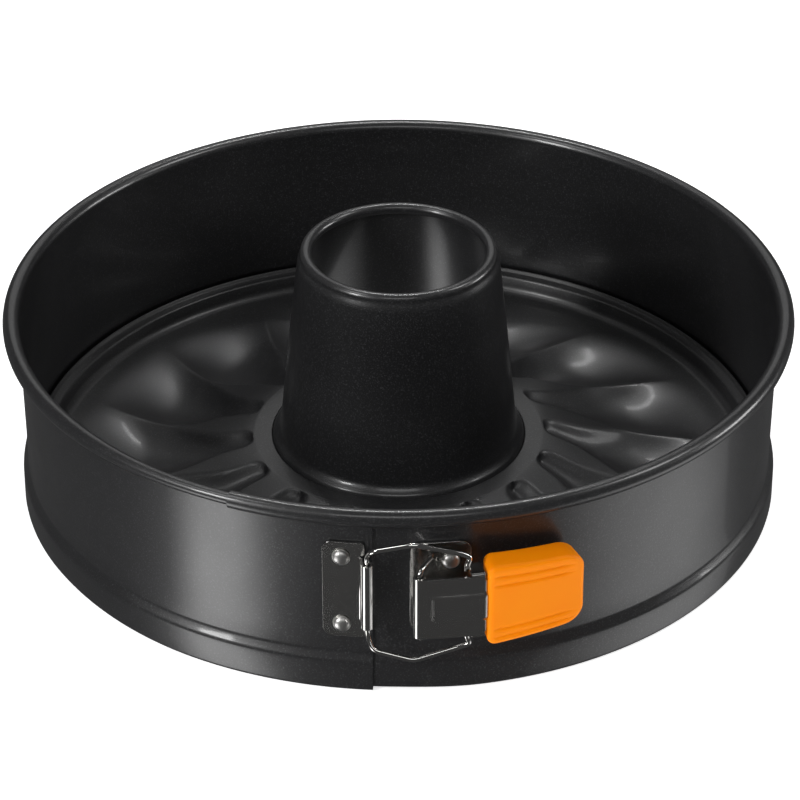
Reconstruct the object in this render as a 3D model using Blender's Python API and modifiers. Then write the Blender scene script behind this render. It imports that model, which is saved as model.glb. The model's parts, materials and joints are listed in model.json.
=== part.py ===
"""Springform tube pan: a sprung steel ring with an over-centre clasp, round a
fluted base plate that carries a hollow centre tube.

The ring stands on z = 0 with its clasp at the front, towards -Y. Pieces are
drawn about the ring's own axis, which lies a little behind the origin, so that
the origin is under the middle of the whole pan. Run it with
blender --background --python part.py, or from Blender's text editor.
"""

import math

import bmesh
import bpy
from mathutils import Matrix, Vector

MM = 0.001
DEG = math.pi / 180

# Clearances
GAP = 0.3 * MM  # between neighbouring solids
HOLE_PLAY = 0.3 * MM  # round a shank or a wire in its hole
BASE_PLAY = 0.7 * MM  # between the base's edge and the wall it drops past

# Ring: one strip of sheet steel, rolled at the rim, channelled at the foot
HEIGHT = 70.5 * MM
SHEET = 0.55 * MM
TOP_RADIUS = 129.7 * MM  # inside, under the rim
WALL_TAPER = 0.9 * MM  # how much narrower the wall is just above the channel
RIM_ROLL = 5.8 * MM  # outer diameter of the rolled rim
RIM_TURN = 280 * DEG  # how far the rim is rolled
CHANNEL_TOP = 14.2 * MM
CHANNEL_SLOPE = 3.0 * MM  # height of the sloping shoulder over the channel
CHANNEL_DEPTH = 1.9 * MM
CHANNEL_CORNER = 1.2 * MM
LIP = 2.4 * MM  # inward lip under the channel
TONGUE_ANGLE = -23.6 * DEG  # where the strip starts, behind the other end
STATION = 5 * DEG
STATIONS = 76
JOG_FROM, JOG_OVER = 300 * DEG, 30 * DEG  # where the outer end steps outwards
TUCK_FROM, TUCK_OVER = -1 * DEG, 13 * DEG  # where the tongue's lip steps up

# Base plate: pressed floor with swirled flutes
BASE_SHEET = 0.8 * MM
SEAT_Z = 17.0 * MM  # flat ring round the tube
FLOOR_Z = 6.6 * MM  # flat floor near the wall
HOLE_RADIUS = 44.3 * MM
SEAT_WIDTH = 1.7 * MM  # from the hole to where the lands start to fall away
FALL_WIDTH = 38.0 * MM  # from there to where they have come down to the floor
FLUTE_TIP_MARGIN = 5.0 * MM  # from the seat's edge to the flutes' inner ends
FLUTE_MARGIN = 7.5 * MM  # from the flutes' outer ends to the step
FLUTES = 16
FLUTE_DEPTH = 4.4 * MM
FLUTE_TIP_ANGLE = 4.5 * DEG
FLUTE_SWIRL = 12 * DEG  # clockwise from tip to outer end
COLUMNS_PER_FLUTE = 8
STEP_RISE = 6.0 * MM
STEP_FILLET = 3.2 * MM  # at the foot of the step
STRIP_WIDTH = 2.8 * MM  # flat strip between the step and the crest
CREST_WIDTH = 1.5 * MM
CREST_RISE = 1.2 * MM
SKIRT_DROP = 2.0 * MM  # rounded corner from the crest to the skirt

# Tube: a cone with its top edge rolled inwards and a flange under the base
TUBE_SHEET = 0.7 * MM
TUBE_HEIGHT = 90.4 * MM
TUBE_TOP_RADIUS = 34.4 * MM
TUBE_FOOT_RADIUS = 40.9 * MM
TUBE_ROLL = 4.0 * MM
TUBE_DRAW = 1.1 * MM  # how far the rolled edge is drawn in from the cone
TUBE_FLARE = 3.6 * MM
TUBE_FLANGE = 2.4 * MM
TUBE_SIDES = 40

# Clasp
CLASP_Z = 40.0 * MM
WIRE = 1.7 * MM
PLATE = 0.8 * MM
CATCH_LEFT, CATCH_RIGHT = -24.0 * MM, -10.6 * MM
CATCH_BEND = -14.0 * MM
CATCH_HALF = 18.2 * MM
CATCH_CORNER = 3.0 * MM
CATCH_DROP = 1.0 * MM  # how far the plate and its rivets sit below the knuckle's middle
CATCH_RIVET_S, CATCH_RIVET_Z = -17.9 * MM, 12.9 * MM
KNUCKLE_HALF = 12.1 * MM
KNUCKLE_X, KNUCKLE_OUT = -9.9 * MM, 5.7 * MM
KNUCKLE_START, KNUCKLE_END = -60 * DEG, 215 * DEG
SLIT = 0.4 * MM

BRACKET_LEFT, BRACKET_RIGHT = 3.6 * MM, 23.0 * MM
BRACKET_HALF = 17.0 * MM
BRACKET_CORNER = 3.5 * MM
BRACKET_RIVET_S, BRACKET_RIVET_Z = 16.4 * MM, 10.2 * MM
STAPLE_S, STAPLE_Z = 10.1 * MM, 13.2 * MM

LEVER_X = 6.6 * MM  # pivot
LEVER_FACE = 13.3 * MM  # middle of the lever's sheet, out from the ring
LEVER_HALF = 11.2 * MM
LEVER_CURL_TURN = 330 * DEG
PANEL_FROM, PANEL_HALF, PANEL_RISE = 9.0 * MM, 4.5 * MM, 0.7 * MM
PANEL_SLOPE = 0.8 * MM
FLANGE_FROM, FLANGE_TO = 21.1 * MM, 24.9 * MM
FLANGE_BEND = 0.6 * MM
FLANGE_DEPTH = 6.4 * MM
TONGUE_HALF, TONGUE_END, TONGUE_DROP = 9.6 * MM, 51.0 * MM, 2.5 * MM
TONGUE_BEND = 3.0 * MM

HOOK_X, HOOK_OUT = 21.6 * MM, 8.2 * MM  # where the bail's ends seat in the lever
BAIL_CORNER_HALF = 18.9 * MM
BAIL_PEAK_HALF = 22.1 * MM
BAIL_HOOK_HALF = 15.6 * MM
BAIL_PEAK_SHARE = 0.47  # of the way from knuckle to hooks
BAIL_BOW = 2.8 * MM  # how far the loop bends outwards beside the knuckle
BAIL_BEND = 2.2 * MM

GRIP_FROM, GRIP_TO = 25.6 * MM, 55.8 * MM
GRIP_BACK, GRIP_FRONT = 5.3 * MM, 15.2 * MM
GRIP_HALF, GRIP_TAPER = 15.0 * MM, 2.2 * MM
GRIP_CORNER, GRIP_EDGE = 6.5 * MM, 1.8 * MM
GRIP_LEAN = 2.4 * MM  # how much nearer to the wall its far end is

RIVET_HEAD, RIVET_DOME = 6.0 * MM, 1.9 * MM
RIVET_SHANK = 2.9 * MM

# What follows from the sizes above
RIM_RADIUS = TOP_RADIUS + RIM_ROLL
FOOT_RADIUS = TOP_RADIUS - WALL_TAPER
BASE_EDGE = FOOT_RADIUS - BASE_PLAY
CREST_RADIUS = BASE_EDGE - CREST_WIDTH / 2
STEP_RADIUS = BASE_EDGE - CREST_WIDTH - STRIP_WIDTH
FLUTE_END_RADIUS = STEP_RADIUS - FLUTE_MARGIN
SEAT_RADIUS = HOLE_RADIUS + SEAT_WIDTH
FALL_END_RADIUS = SEAT_RADIUS + FALL_WIDTH
FLUTE_TIP_RADIUS = SEAT_RADIUS + FLUTE_TIP_MARGIN
RIM_Z = HEIGHT - RIM_ROLL / 2
LAYER = SHEET + GAP  # radial step between the overlapping ends


def wall_outside(z):
    """Outer radius of the ring's wall at height z, inner layer."""
    share = (z - CHANNEL_TOP) / (RIM_Z - CHANNEL_TOP)
    return FOOT_RADIUS + (TOP_RADIUS - FOOT_RADIUS) * share + SHEET


CLASP_RADIUS = wall_outside(CLASP_Z)
CURL = WIRE / 2 + HOLE_PLAY + PLATE / 2  # middle radius of a curl round a wire
FRONT_REACH = CLASP_RADIUS + LEVER_FACE + PLATE / 2 + PANEL_RISE
RING_AXIS_Y = (FRONT_REACH - RIM_RADIUS) / 2


def smooth(share):
    share = min(1.0, max(0.0, share))
    return share * share * (3 - 2 * share)


def mix(a, b, share):
    return a + (b - a) * share


def on_ring(s, out, z, follow_wall=False):
    """A point at arc length s along the clasp, out from the wall, z above it."""
    height = CLASP_Z + z
    radius = wall_outside(height) if follow_wall else CLASP_RADIUS
    angle = s / CLASP_RADIUS
    radius += out
    return Vector((radius * math.sin(angle), -radius * math.cos(angle), height))


def at_front(x, out, z):
    """A point given straight: x to the right, out towards the viewer."""
    return Vector((x, -(CLASP_RADIUS + out), CLASP_Z + z))


def arc_place(point):
    """Arc length and distance out of a point at the front, for on_ring."""
    angle = math.atan2(point.x, -point.y)
    return angle * CLASP_RADIUS, math.hypot(point.x, point.y) - CLASP_RADIUS


KNUCKLE = at_front(KNUCKLE_X, KNUCKLE_OUT, 0)
HOOK = at_front(HOOK_X, HOOK_OUT, 0)
LEVER_PIVOT_ANGLE = math.asin(LEVER_X / (CLASP_RADIUS + LEVER_FACE - CURL))
LEVER_PIVOT = on_ring(LEVER_PIVOT_ANGLE * CLASP_RADIUS, LEVER_FACE - CURL, 0)
RING_BACK = Vector((0, CLASP_RADIUS, CLASP_Z))


# Scene, materials and objects


def clear_scene():
    for item in list(bpy.data.objects):
        bpy.data.objects.remove(item, do_unlink=True)


def collection(name):
    made = bpy.data.collections.new(name)
    bpy.context.scene.collection.children.link(made)
    return made


def material(name, colour, roughness, metallic):
    made = bpy.data.materials.new(name)
    made.use_nodes = True
    shader = made.node_tree.nodes["Principled BSDF"]
    shader.inputs["Base Color"].default_value = (*colour, 1)
    shader.inputs["Roughness"].default_value = roughness
    shader.inputs["Metallic"].default_value = metallic
    return made


def coated_steel(name):
    return material(name, (0.022, 0.022, 0.023), 0.38, 0.3)


def plated_steel(name):
    return material(name, (0.62, 0.62, 0.63), 0.2, 1.0)


def silicone(name):
    return material(name, (0.87, 0.22, 0.01), 0.45, 0.0)


def pivot(name, point, parent=None):
    empty = bpy.data.objects.new(name, None)
    empty.location = point
    empty.parent = parent
    PARTS.objects.link(empty)
    return empty


def add(name, data, finish, frame, origin, sharp=35):
    """Link a piece drawn about the ring's axis under the empty at origin."""
    made = bpy.data.objects.new(name, data)
    data.transform(Matrix.Translation(-origin))
    data.materials.append(finish)
    made.parent = frame
    PARTS.objects.link(made)
    if isinstance(data, bpy.types.Mesh):
        data.shade_smooth()
        data.set_sharp_from_angle(angle=sharp * DEG)
    return made


def solidify(made, thickness):
    shell = made.modifiers.new("Sheet", "SOLIDIFY")
    shell.thickness = thickness
    shell.offset = 0
    shell.use_even_offset = True
    return shell


def turn(made, sides):
    spin = made.modifiers.new("Turn", "SCREW")
    spin.steps = spin.render_steps = sides
    spin.use_merge_vertices = True
    spin.merge_threshold = 0.00001
    return spin


def cut(made, cutters):
    for number, cutter in enumerate(cutters):
        trim = made.modifiers.new(f"Cut {number}", "BOOLEAN")
        trim.operation = "DIFFERENCE"
        trim.object = cutter


def as_cutter(name, mesh, frame, origin):
    made = bpy.data.objects.new(name, mesh)
    mesh.transform(Matrix.Translation(-origin))
    made.parent = frame
    made.hide_render = True
    made.display_type = "WIRE"
    CUTTERS.objects.link(made)
    return made


def new_mesh(name, bm, weld=True):
    if weld:
        bmesh.ops.remove_doubles(bm, verts=bm.verts, dist=0.001 * MM)
    bmesh.ops.recalc_face_normals(bm, faces=bm.faces)
    mesh = bpy.data.meshes.new(name)
    bm.to_mesh(mesh)
    bm.free()
    return mesh


def add_sheet(bm, columns):
    """Quads between columns of points, each column as long as the next."""
    made = [[bm.verts.new(point) for point in column] for column in columns]
    for left, right in zip(made, made[1:]):
        for a, b, c, d in zip(left, right, right[1:], left[1:]):
            bm.faces.new((a, b, c, d))


def wire_curve(name, points, diameter):
    curve = bpy.data.curves.new(name, "CURVE")
    curve.dimensions = "3D"
    curve.bevel_depth = diameter / 2
    curve.bevel_resolution = 2
    curve.use_fill_caps = True
    spline = curve.splines.new("POLY")
    spline.points.add(len(points) - 1)
    for slot, point in zip(spline.points, points):
        slot.co = (*point, 1)
    return curve


def rounded(points, radius, steps=3):
    """The open path through points with its corners rounded."""
    path = [points[0]]
    for before, corner, after in zip(points, points[1:], points[2:]):
        into, away = (before - corner), (after - corner)
        reach = min(radius, 0.45 * into.length, 0.45 * away.length)
        start = corner + into.normalized() * reach
        stop = corner + away.normalized() * reach
        for step in range(steps + 1):
            t = step / steps
            path.append((1 - t) ** 2 * start + 2 * t * (1 - t) * corner + t * t * stop)
    path.append(points[-1])
    return path


# Ring band


def band_station(angle):
    """Middle line of the strip at one angle, from lip to rolled rim."""
    jog = LAYER * smooth((angle - JOG_FROM) / JOG_OVER)
    tuck = LAYER * (1 - smooth((angle - TUCK_FROM) / TUCK_OVER))
    foot = FOOT_RADIUS + SHEET / 2 + jog
    top = TOP_RADIUS + SHEET / 2 + jog
    side = foot + CHANNEL_DEPTH
    low = SHEET / 2
    profile = [
        (foot - LIP, low + tuck),
        (side - CHANNEL_CORNER, low + tuck),
        (side - 0.3 * CHANNEL_CORNER, low + 0.3 * CHANNEL_CORNER + tuck),
        (side, low + CHANNEL_CORNER + tuck),
        (side, CHANNEL_TOP - CHANNEL_SLOPE - 0.3 * tuck),
        (foot, CHANNEL_TOP - 0.3 * tuck),
    ]
    roll = RIM_ROLL / 2 - SHEET / 2 - jog
    steps = 8
    for step in range(steps + 1):
        turned = math.pi - RIM_TURN * step / steps
        profile.append((top + roll + roll * math.cos(turned), RIM_Z + roll * math.sin(turned)))
    return [Vector((r * math.sin(angle), -r * math.cos(angle), z)) for r, z in profile]


def ring_band(frame):
    bm = bmesh.new()
    add_sheet(bm, [band_station(TONGUE_ANGLE + STATION * n) for n in range(STATIONS + 1)])
    band = add("ring_band", new_mesh("ring_band", bm), coated_steel("band coating"), frame, Vector())
    solidify(band, SHEET)
    through = 3 * SHEET
    holes = [
        (CATCH_RIVET_S, side * CATCH_RIVET_Z - CATCH_DROP, LAYER - SHEET - GAP / 2, LAYER + SHEET)
        for side in (1, -1)
    ]
    holes += [
        (BRACKET_RIVET_S, side * BRACKET_RIVET_Z, -through, SHEET) for side in (1, -1)
    ]
    cutters = [
        round_cutter(f"band_hole_{n}", s, z, low, high, True, frame)
        for n, (s, z, low, high) in enumerate(holes)
    ]
    cut(band, cutters)
    return band


def round_cutter(name, s, z, low, high, follow_wall, frame, radius=None):
    """A cylinder square to the ring, from low to high out from the wall."""
    radius = radius or RIVET_SHANK / 2 + HOLE_PLAY
    bm = bmesh.new()
    middle = on_ring(s, (low + high) / 2, z, follow_wall)
    spin = Matrix.Rotation(s / CLASP_RADIUS, 4, "Z") @ Matrix.Rotation(90 * DEG, 4, "X")
    bmesh.ops.create_cone(
        bm,
        cap_ends=True,
        segments=16,
        radius1=radius,
        radius2=radius,
        depth=high - low,
        matrix=Matrix.Translation(middle) @ spin,
    )
    return as_cutter(name, new_mesh(name, bm), frame, Vector())


# Base plate


def land_height(radius):
    """Height of the top side between the flutes, from the seat out to the floor."""
    share = min(1.0, max(0.0, (radius - SEAT_RADIUS) / (FALL_END_RADIUS - SEAT_RADIUS)))
    return mix(SEAT_Z, FLOOR_Z, math.sin(90 * DEG * share) ** 1.3)


def flute_depth(radius, angle):
    """How far the floor is pressed down at a place between seat and floor."""
    share = (radius - FLUTE_TIP_RADIUS) / (FLUTE_END_RADIUS - FLUTE_TIP_RADIUS)
    if share <= 0 or share >= 1:
        return 0.0
    centre = FLUTE_TIP_ANGLE - FLUTE_SWIRL * share
    pitch = 2 * math.pi / FLUTES
    off = (angle - centre) / pitch
    off -= round(off)
    half = mix(0.2, 0.46, smooth(share / 0.5))
    if abs(off) >= half:
        return 0.0
    along = smooth(share / 0.07) * mix(0.6, 1, smooth(share / 0.35))
    along *= 1 - smooth((share - 0.6) / 0.4)
    return FLUTE_DEPTH * along * (1 - (abs(off) / half) ** 2.4)


def base_profile():
    """Radius and height of the top side, from the tube's hole to the skirt."""
    flutes = [0.035, 0.09, 0.18, 0.31, 0.46, 0.62, 0.8, 1.0]  # shares of the flutes' length
    skirt_foot = SHEET + LAYER + GAP
    rise = FLOOR_Z + STEP_RISE
    radii = [HOLE_RADIUS, SEAT_RADIUS, mix(SEAT_RADIUS, FLUTE_TIP_RADIUS, 0.5), FLUTE_TIP_RADIUS]
    radii += [mix(FLUTE_TIP_RADIUS, FLUTE_END_RADIUS, t) for t in flutes]
    profile = [(r, land_height(r)) for r in radii]
    profile += [
        (STEP_RADIUS - 1.3 * STEP_FILLET, FLOOR_Z),
        (STEP_RADIUS - 0.6 * STEP_FILLET, FLOOR_Z + 0.3 * STEP_FILLET),
        (STEP_RADIUS - 0.3 * STEP_FILLET, FLOOR_Z + STEP_FILLET),
        (STEP_RADIUS + 0.1 * STEP_FILLET, rise),
        (CREST_RADIUS - 0.5 * CREST_WIDTH, rise),
        (CREST_RADIUS, rise + CREST_RISE),
        (BASE_EDGE - 0.1 * CREST_WIDTH, rise + CREST_RISE - 0.35 * SKIRT_DROP),
        (BASE_EDGE, rise + CREST_RISE - SKIRT_DROP),
        (BASE_EDGE, skirt_foot),
    ]
    return profile


def base_plate(frame):
    bm = bmesh.new()
    count = FLUTES * COLUMNS_PER_FLUTE
    columns = []
    for n in range(count + 1):
        angle = 2 * math.pi * (n % count) / count
        columns.append(
            [
                Vector((r * math.cos(angle), r * math.sin(angle), z - flute_depth(r, angle)))
                for r, z in base_profile()
            ]
        )
    add_sheet(bm, columns)
    mesh = new_mesh("base_plate", bm)
    plate = add("base_plate", mesh, coated_steel("base coating"), frame, Vector())
    shell = solidify(plate, BASE_SHEET)
    shell.offset = -1
    return plate


# Tube


def tube(frame):
    roll = TUBE_ROLL / 2 - TUBE_SHEET / 2
    roll_r, roll_z = TUBE_TOP_RADIUS - TUBE_DRAW - roll, TUBE_HEIGHT - TUBE_ROLL / 2
    neck = HOLE_RADIUS - 1.2 * GAP - TUBE_SHEET / 2
    flange_z = SEAT_Z - BASE_SHEET - GAP - TUBE_SHEET / 2
    profile = []
    for turned in range(250, 0, -35):
        a = turned * DEG
        profile.append((roll_r + roll * math.cos(a), roll_z + roll * math.sin(a)))
    profile += [
        (TUBE_TOP_RADIUS - 0.6 * TUBE_DRAW, roll_z - roll),
        (TUBE_TOP_RADIUS, roll_z - 2.4 * roll),
        (TUBE_FOOT_RADIUS, SEAT_Z + TUBE_FLARE),
        (mix(TUBE_FOOT_RADIUS, neck, 0.35), SEAT_Z + 0.5 * TUBE_FLARE),
        (neck, SEAT_Z + 0.6 * MM),
        (neck, flange_z + 0.4 * MM),
        (neck + 0.4 * MM, flange_z),
        (neck + TUBE_FLANGE, flange_z),
    ]
    mesh = bpy.data.meshes.new("tube")
    points = [(r, 0, z) for r, z in profile]
    mesh.from_pydata(points, [(n, n + 1) for n in range(len(points) - 1)], [])
    made = add("tube", mesh, coated_steel("tube coating"), frame, Vector())
    turn(made, TUBE_SIDES)
    solidify(made, TUBE_SHEET)
    return made


# Clasp


def plate_columns(left, right, half, corner, out, rows=(), drop=0.0):
    """Columns of a plate on the wall; corners are rounded at each given end."""
    ends = {left: corner[0], right: corner[1]}
    places = {left, right}
    places |= {left + corner[0] * t for t in (0.15, 0.5, 1) if corner[0]}
    places |= {right - corner[1] * t for t in (0.15, 0.5, 1) if corner[1]}
    inner = (left + corner[0], right - corner[1])
    pieces = max(1, round((inner[1] - inner[0]) / (5 * MM)))
    places |= {mix(inner[0], inner[1], n / pieces) for n in range(pieces + 1)}
    columns = []
    for s in sorted(places):
        tall = half
        for end, radius in ends.items():
            short = radius - abs(s - end)
            if radius and short > 0:
                tall = half - radius + math.sqrt(radius * radius - short * short)
        heights = [-tall - drop, *rows, tall - drop]
        columns.append([on_ring(s, out, z, True) for z in heights])
    return columns


def curl_points(centre, start, sweep, steps):
    """Points of a curl, by angle from +X towards the front."""
    points = []
    for step in range(steps + 1):
        a = start + sweep * step / steps
        points.append(centre + Vector((CURL * math.cos(a), -CURL * math.sin(a), 0)))
    return points


def catch_plate(frame, origin):
    """Flat plate on the outer end, its middle curled round the bail."""
    out = LAYER + GAP + PLATE / 2
    slot = KNUCKLE_HALF + SLIT
    rows = (-slot, -KNUCKLE_HALF, KNUCKLE_HALF, slot)
    corners = (CATCH_CORNER, 0)
    bm = bmesh.new()
    add_sheet(
        bm,
        plate_columns(CATCH_LEFT, CATCH_BEND, CATCH_HALF, corners, out, rows, CATCH_DROP),
    )
    for side in (1, -1):
        ear = [
            [on_ring(s, out, z, True) for z in (side * slot, side * CATCH_HALF - CATCH_DROP)]
            for s in (CATCH_BEND, CATCH_RIGHT)
        ]
        add_sheet(bm, ear)
    path = curl_points(KNUCKLE, KNUCKLE_START, KNUCKLE_END - KNUCKLE_START, 11)
    tongue = [
        [on_ring(CATCH_BEND, out, z, True) for z in (-KNUCKLE_HALF, KNUCKLE_HALF)]
    ]
    up = Vector((0, 0, KNUCKLE_HALF))
    tongue += [[point - up, point + up] for point in path]
    add_sheet(bm, tongue)
    mesh = new_mesh("catch_plate", bm)
    plate = add("catch_plate", mesh, plated_steel("catch plating"), frame, origin)
    solidify(plate, PLATE)
    cutters = []
    for n, side in enumerate((1, -1)):
        z = side * CATCH_RIVET_Z - CATCH_DROP
        cutters.append(
            round_cutter(
                f"catch_hole_{n}", CATCH_RIVET_S, z, 0, 4 * PLATE, True, frame_of_ring
            )
        )
    cut(plate, cutters)
    return plate


def lever_bracket(frame, origin):
    out = GAP + PLATE / 2
    bm = bmesh.new()
    corners = (BRACKET_CORNER, BRACKET_CORNER)
    add_sheet(
        bm, plate_columns(BRACKET_LEFT, BRACKET_RIGHT, BRACKET_HALF, corners, out)
    )
    mesh = new_mesh("lever_bracket", bm)
    plate = add("lever_bracket", mesh, plated_steel("bracket plating"), frame, origin)
    solidify(plate, PLATE)
    cutters = []
    for n, side in enumerate((1, -1)):
        cutters.append(
            round_cutter(
                f"bracket_hole_{n}",
                BRACKET_RIVET_S,
                side * BRACKET_RIVET_Z,
                -PLATE,
                3 * PLATE,
                True,
                frame_of_ring,
            )
        )
        cutters.append(
            round_cutter(
                f"staple_hole_{n}",
                STAPLE_S,
                side * STAPLE_Z,
                -PLATE,
                3 * PLATE,
                True,
                frame_of_ring,
                WIRE / 2 + HOLE_PLAY,
            )
        )
    cut(plate, cutters)
    return plate


def rivet(name, s, z, layer, frame):
    """A domed rivet square to the wall; layer is the step of the strip under it."""
    seat = layer + GAP + PLATE
    head, shank = RIVET_HEAD / 2, RIVET_SHANK / 2
    through = PLATE + GAP + SHEET
    profile = [
        (0, GAP + RIVET_DOME),
        (0.42 * head, GAP + 0.93 * RIVET_DOME),
        (0.76 * head, GAP + 0.66 * RIVET_DOME),
        (0.95 * head, GAP + 0.3 * RIVET_DOME),
        (head, GAP),
        (shank, GAP),
    ]
    profile += [(shank, -through), (0, -through)]
    mesh = bpy.data.meshes.new(name)
    points = [(r, 0, h) for r, h in profile]
    mesh.from_pydata(points, [(n, n + 1) for n in range(len(points) - 1)], [])
    made = add(name, mesh, plated_steel(f"{name} plating"), frame, Vector())
    angle = s / CLASP_RADIUS
    made.location = on_ring(s, seat, z, True) - frame_origin[frame.name]
    made.rotation_euler = (90 * DEG, 0, angle)
    turn(made, 16)
    return made


def pivot_wire(frame, origin):
    """Bent wire through the lever's curl, its ends in the bracket."""
    ends = []
    for side in (1, -1):
        z = side * STAPLE_Z
        lift = Vector((0, 0, z))
        root = on_ring(STAPLE_S, 0, z, True)
        outward = Vector((math.sin(STAPLE_S / CLASP_RADIUS), -math.cos(STAPLE_S / CLASP_RADIUS), 0))
        knee = root + outward * 4 * PLATE
        arm = [root + outward * GAP * 1.2, knee, LEVER_PIVOT + lift]
        ends.append(arm)
    top, bottom = ends
    path = rounded([*top, *reversed(bottom)], 1.6 * WIRE)
    curve = wire_curve("pivot_wire", path, WIRE)
    return add("pivot_wire", curve, plated_steel("pivot plating"), frame, origin)


def bail_wire(frame, origin):
    """Six-sided wire loop from the catch's knuckle to the lever's notches."""
    run = HOOK - KNUCKLE
    up = Vector((0, 0, 1))
    ahead = run.normalized()
    bow = Vector((0, -BAIL_BOW, 0))
    hook_end = LEVER_HALF + FLANGE_BEND - PLATE / 2 + GAP / 3
    half = [
        HOOK + up * hook_end,
        HOOK + up * (BAIL_HOOK_HALF - WIRE),
        HOOK + up * (BAIL_HOOK_HALF + WIRE / 2) + ahead * 0.7 * WIRE,
        HOOK + up * (BAIL_HOOK_HALF + 1.3 * WIRE) - ahead * 1.2 * WIRE,
        KNUCKLE + run * BAIL_PEAK_SHARE + up * BAIL_PEAK_HALF + bow,
        KNUCKLE + up * BAIL_CORNER_HALF + ahead * WIRE + bow,
        KNUCKLE + up * (KNUCKLE_HALF + 1.6 * WIRE),
    ]
    flip = Matrix.Translation((0, 0, 2 * CLASP_Z)) @ Matrix.Diagonal((1, 1, -1, 1))
    lower = [flip @ point for point in reversed(half)]
    path = rounded([*half, *lower], BAIL_BEND)
    curve = wire_curve("bail_wire", path, WIRE)
    return add("bail_wire", curve, plated_steel("bail plating"), frame, origin)


def lean(s):
    """How far the grip and the tongue in it have come towards the wall at s."""
    return GRIP_LEAN * max(0.0, (s - GRIP_FROM) / (GRIP_TO - GRIP_FROM))


def tongue_columns(start, end, half, drop_to):
    """The part of the lever inside the grip, as columns of its face."""
    bend = FLANGE_TO + TONGUE_BEND
    places = [start, bend, mix(bend, end, 0.33), mix(bend, end, 0.67), end]
    columns = []
    for s in places:
        share = min(1.0, max(0.0, (s - FLANGE_TO) / TONGUE_BEND))
        out = LEVER_FACE - drop_to * share - lean(s)
        columns.append([on_ring(s, out, z) for z in (-half, half)])
    return columns


def lever_arm(frame, origin):
    """Sheet lever: curled on its pivot wire, embossed, with hooked flanges."""
    bm = bmesh.new()
    slope = PANEL_HALF + PANEL_SLOPE
    rows = (-LEVER_HALF, -TONGUE_HALF, -slope, -PANEL_HALF)
    rows += (PANEL_HALF, slope, TONGUE_HALF, LEVER_HALF)
    pivot_s = LEVER_PIVOT_ANGLE * CLASP_RADIUS
    places = [pivot_s, PANEL_FROM, PANEL_FROM + PANEL_SLOPE]
    places += [mix(PANEL_FROM + PANEL_SLOPE, FLANGE_FROM, 0.5), FLANGE_FROM, FLANGE_TO]
    columns = []
    for s in places:
        raised = PANEL_RISE if s > PANEL_FROM else 0
        columns.append(
            [
                on_ring(s, LEVER_FACE + (raised if abs(z) <= PANEL_HALF else 0), z)
                for z in rows
            ]
        )
    add_sheet(bm, columns)
    bend = FLANGE_TO + TONGUE_BEND
    inner = [z for z in rows if abs(z) <= TONGUE_HALF]
    tongue = [columns[-1][1:-1]]
    for s in (bend, mix(bend, TONGUE_END, 0.33), mix(bend, TONGUE_END, 0.67), TONGUE_END):
        out = LEVER_FACE - TONGUE_DROP - lean(s)
        tongue.append([on_ring(s, out, z) for z in inner])
    add_sheet(bm, tongue)
    curl = curl_points(LEVER_PIVOT, 90 * DEG - LEVER_PIVOT_ANGLE, LEVER_CURL_TURN, 13)
    add_sheet(bm, [[point + Vector((0, 0, z)) for z in rows] for point in curl])
    hook_s, hook_out = arc_place(HOOK)
    seat = WIRE / 2 + HOLE_PLAY
    for side in (1, -1):
        edge_z = LEVER_HALF + FLANGE_BEND
        corner = [
            (LEVER_HALF, LEVER_FACE),
            (mix(LEVER_HALF, edge_z, 0.7), LEVER_FACE - 0.3 * FLANGE_BEND),
            (edge_z, LEVER_FACE - FLANGE_BEND),
        ]
        add_sheet(
            bm,
            [[on_ring(s, out, side * z) for z, out in corner] for s in (FLANGE_FROM, FLANGE_TO)],
        )
        outline = [(FLANGE_TO, LEVER_FACE - FLANGE_BEND), (FLANGE_FROM, LEVER_FACE - FLANGE_BEND)]
        for turned in (45, 22, 0, -22, -45, -62):
            a = turned * DEG
            outline.append((hook_s + seat * math.cos(a), hook_out + seat * math.sin(a)))
        outline += [(hook_s + 0.3 * seat, LEVER_FACE - FLANGE_DEPTH), (FLANGE_TO, LEVER_FACE - FLANGE_DEPTH)]
        bm.faces.new([bm.verts.new(on_ring(s, out, side * edge_z)) for s, out in outline])
    mesh = new_mesh("lever_arm", bm)
    lever = add("lever_arm", mesh, plated_steel("lever plating"), frame, origin)
    solidify(lever, PLATE)
    return lever


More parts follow.
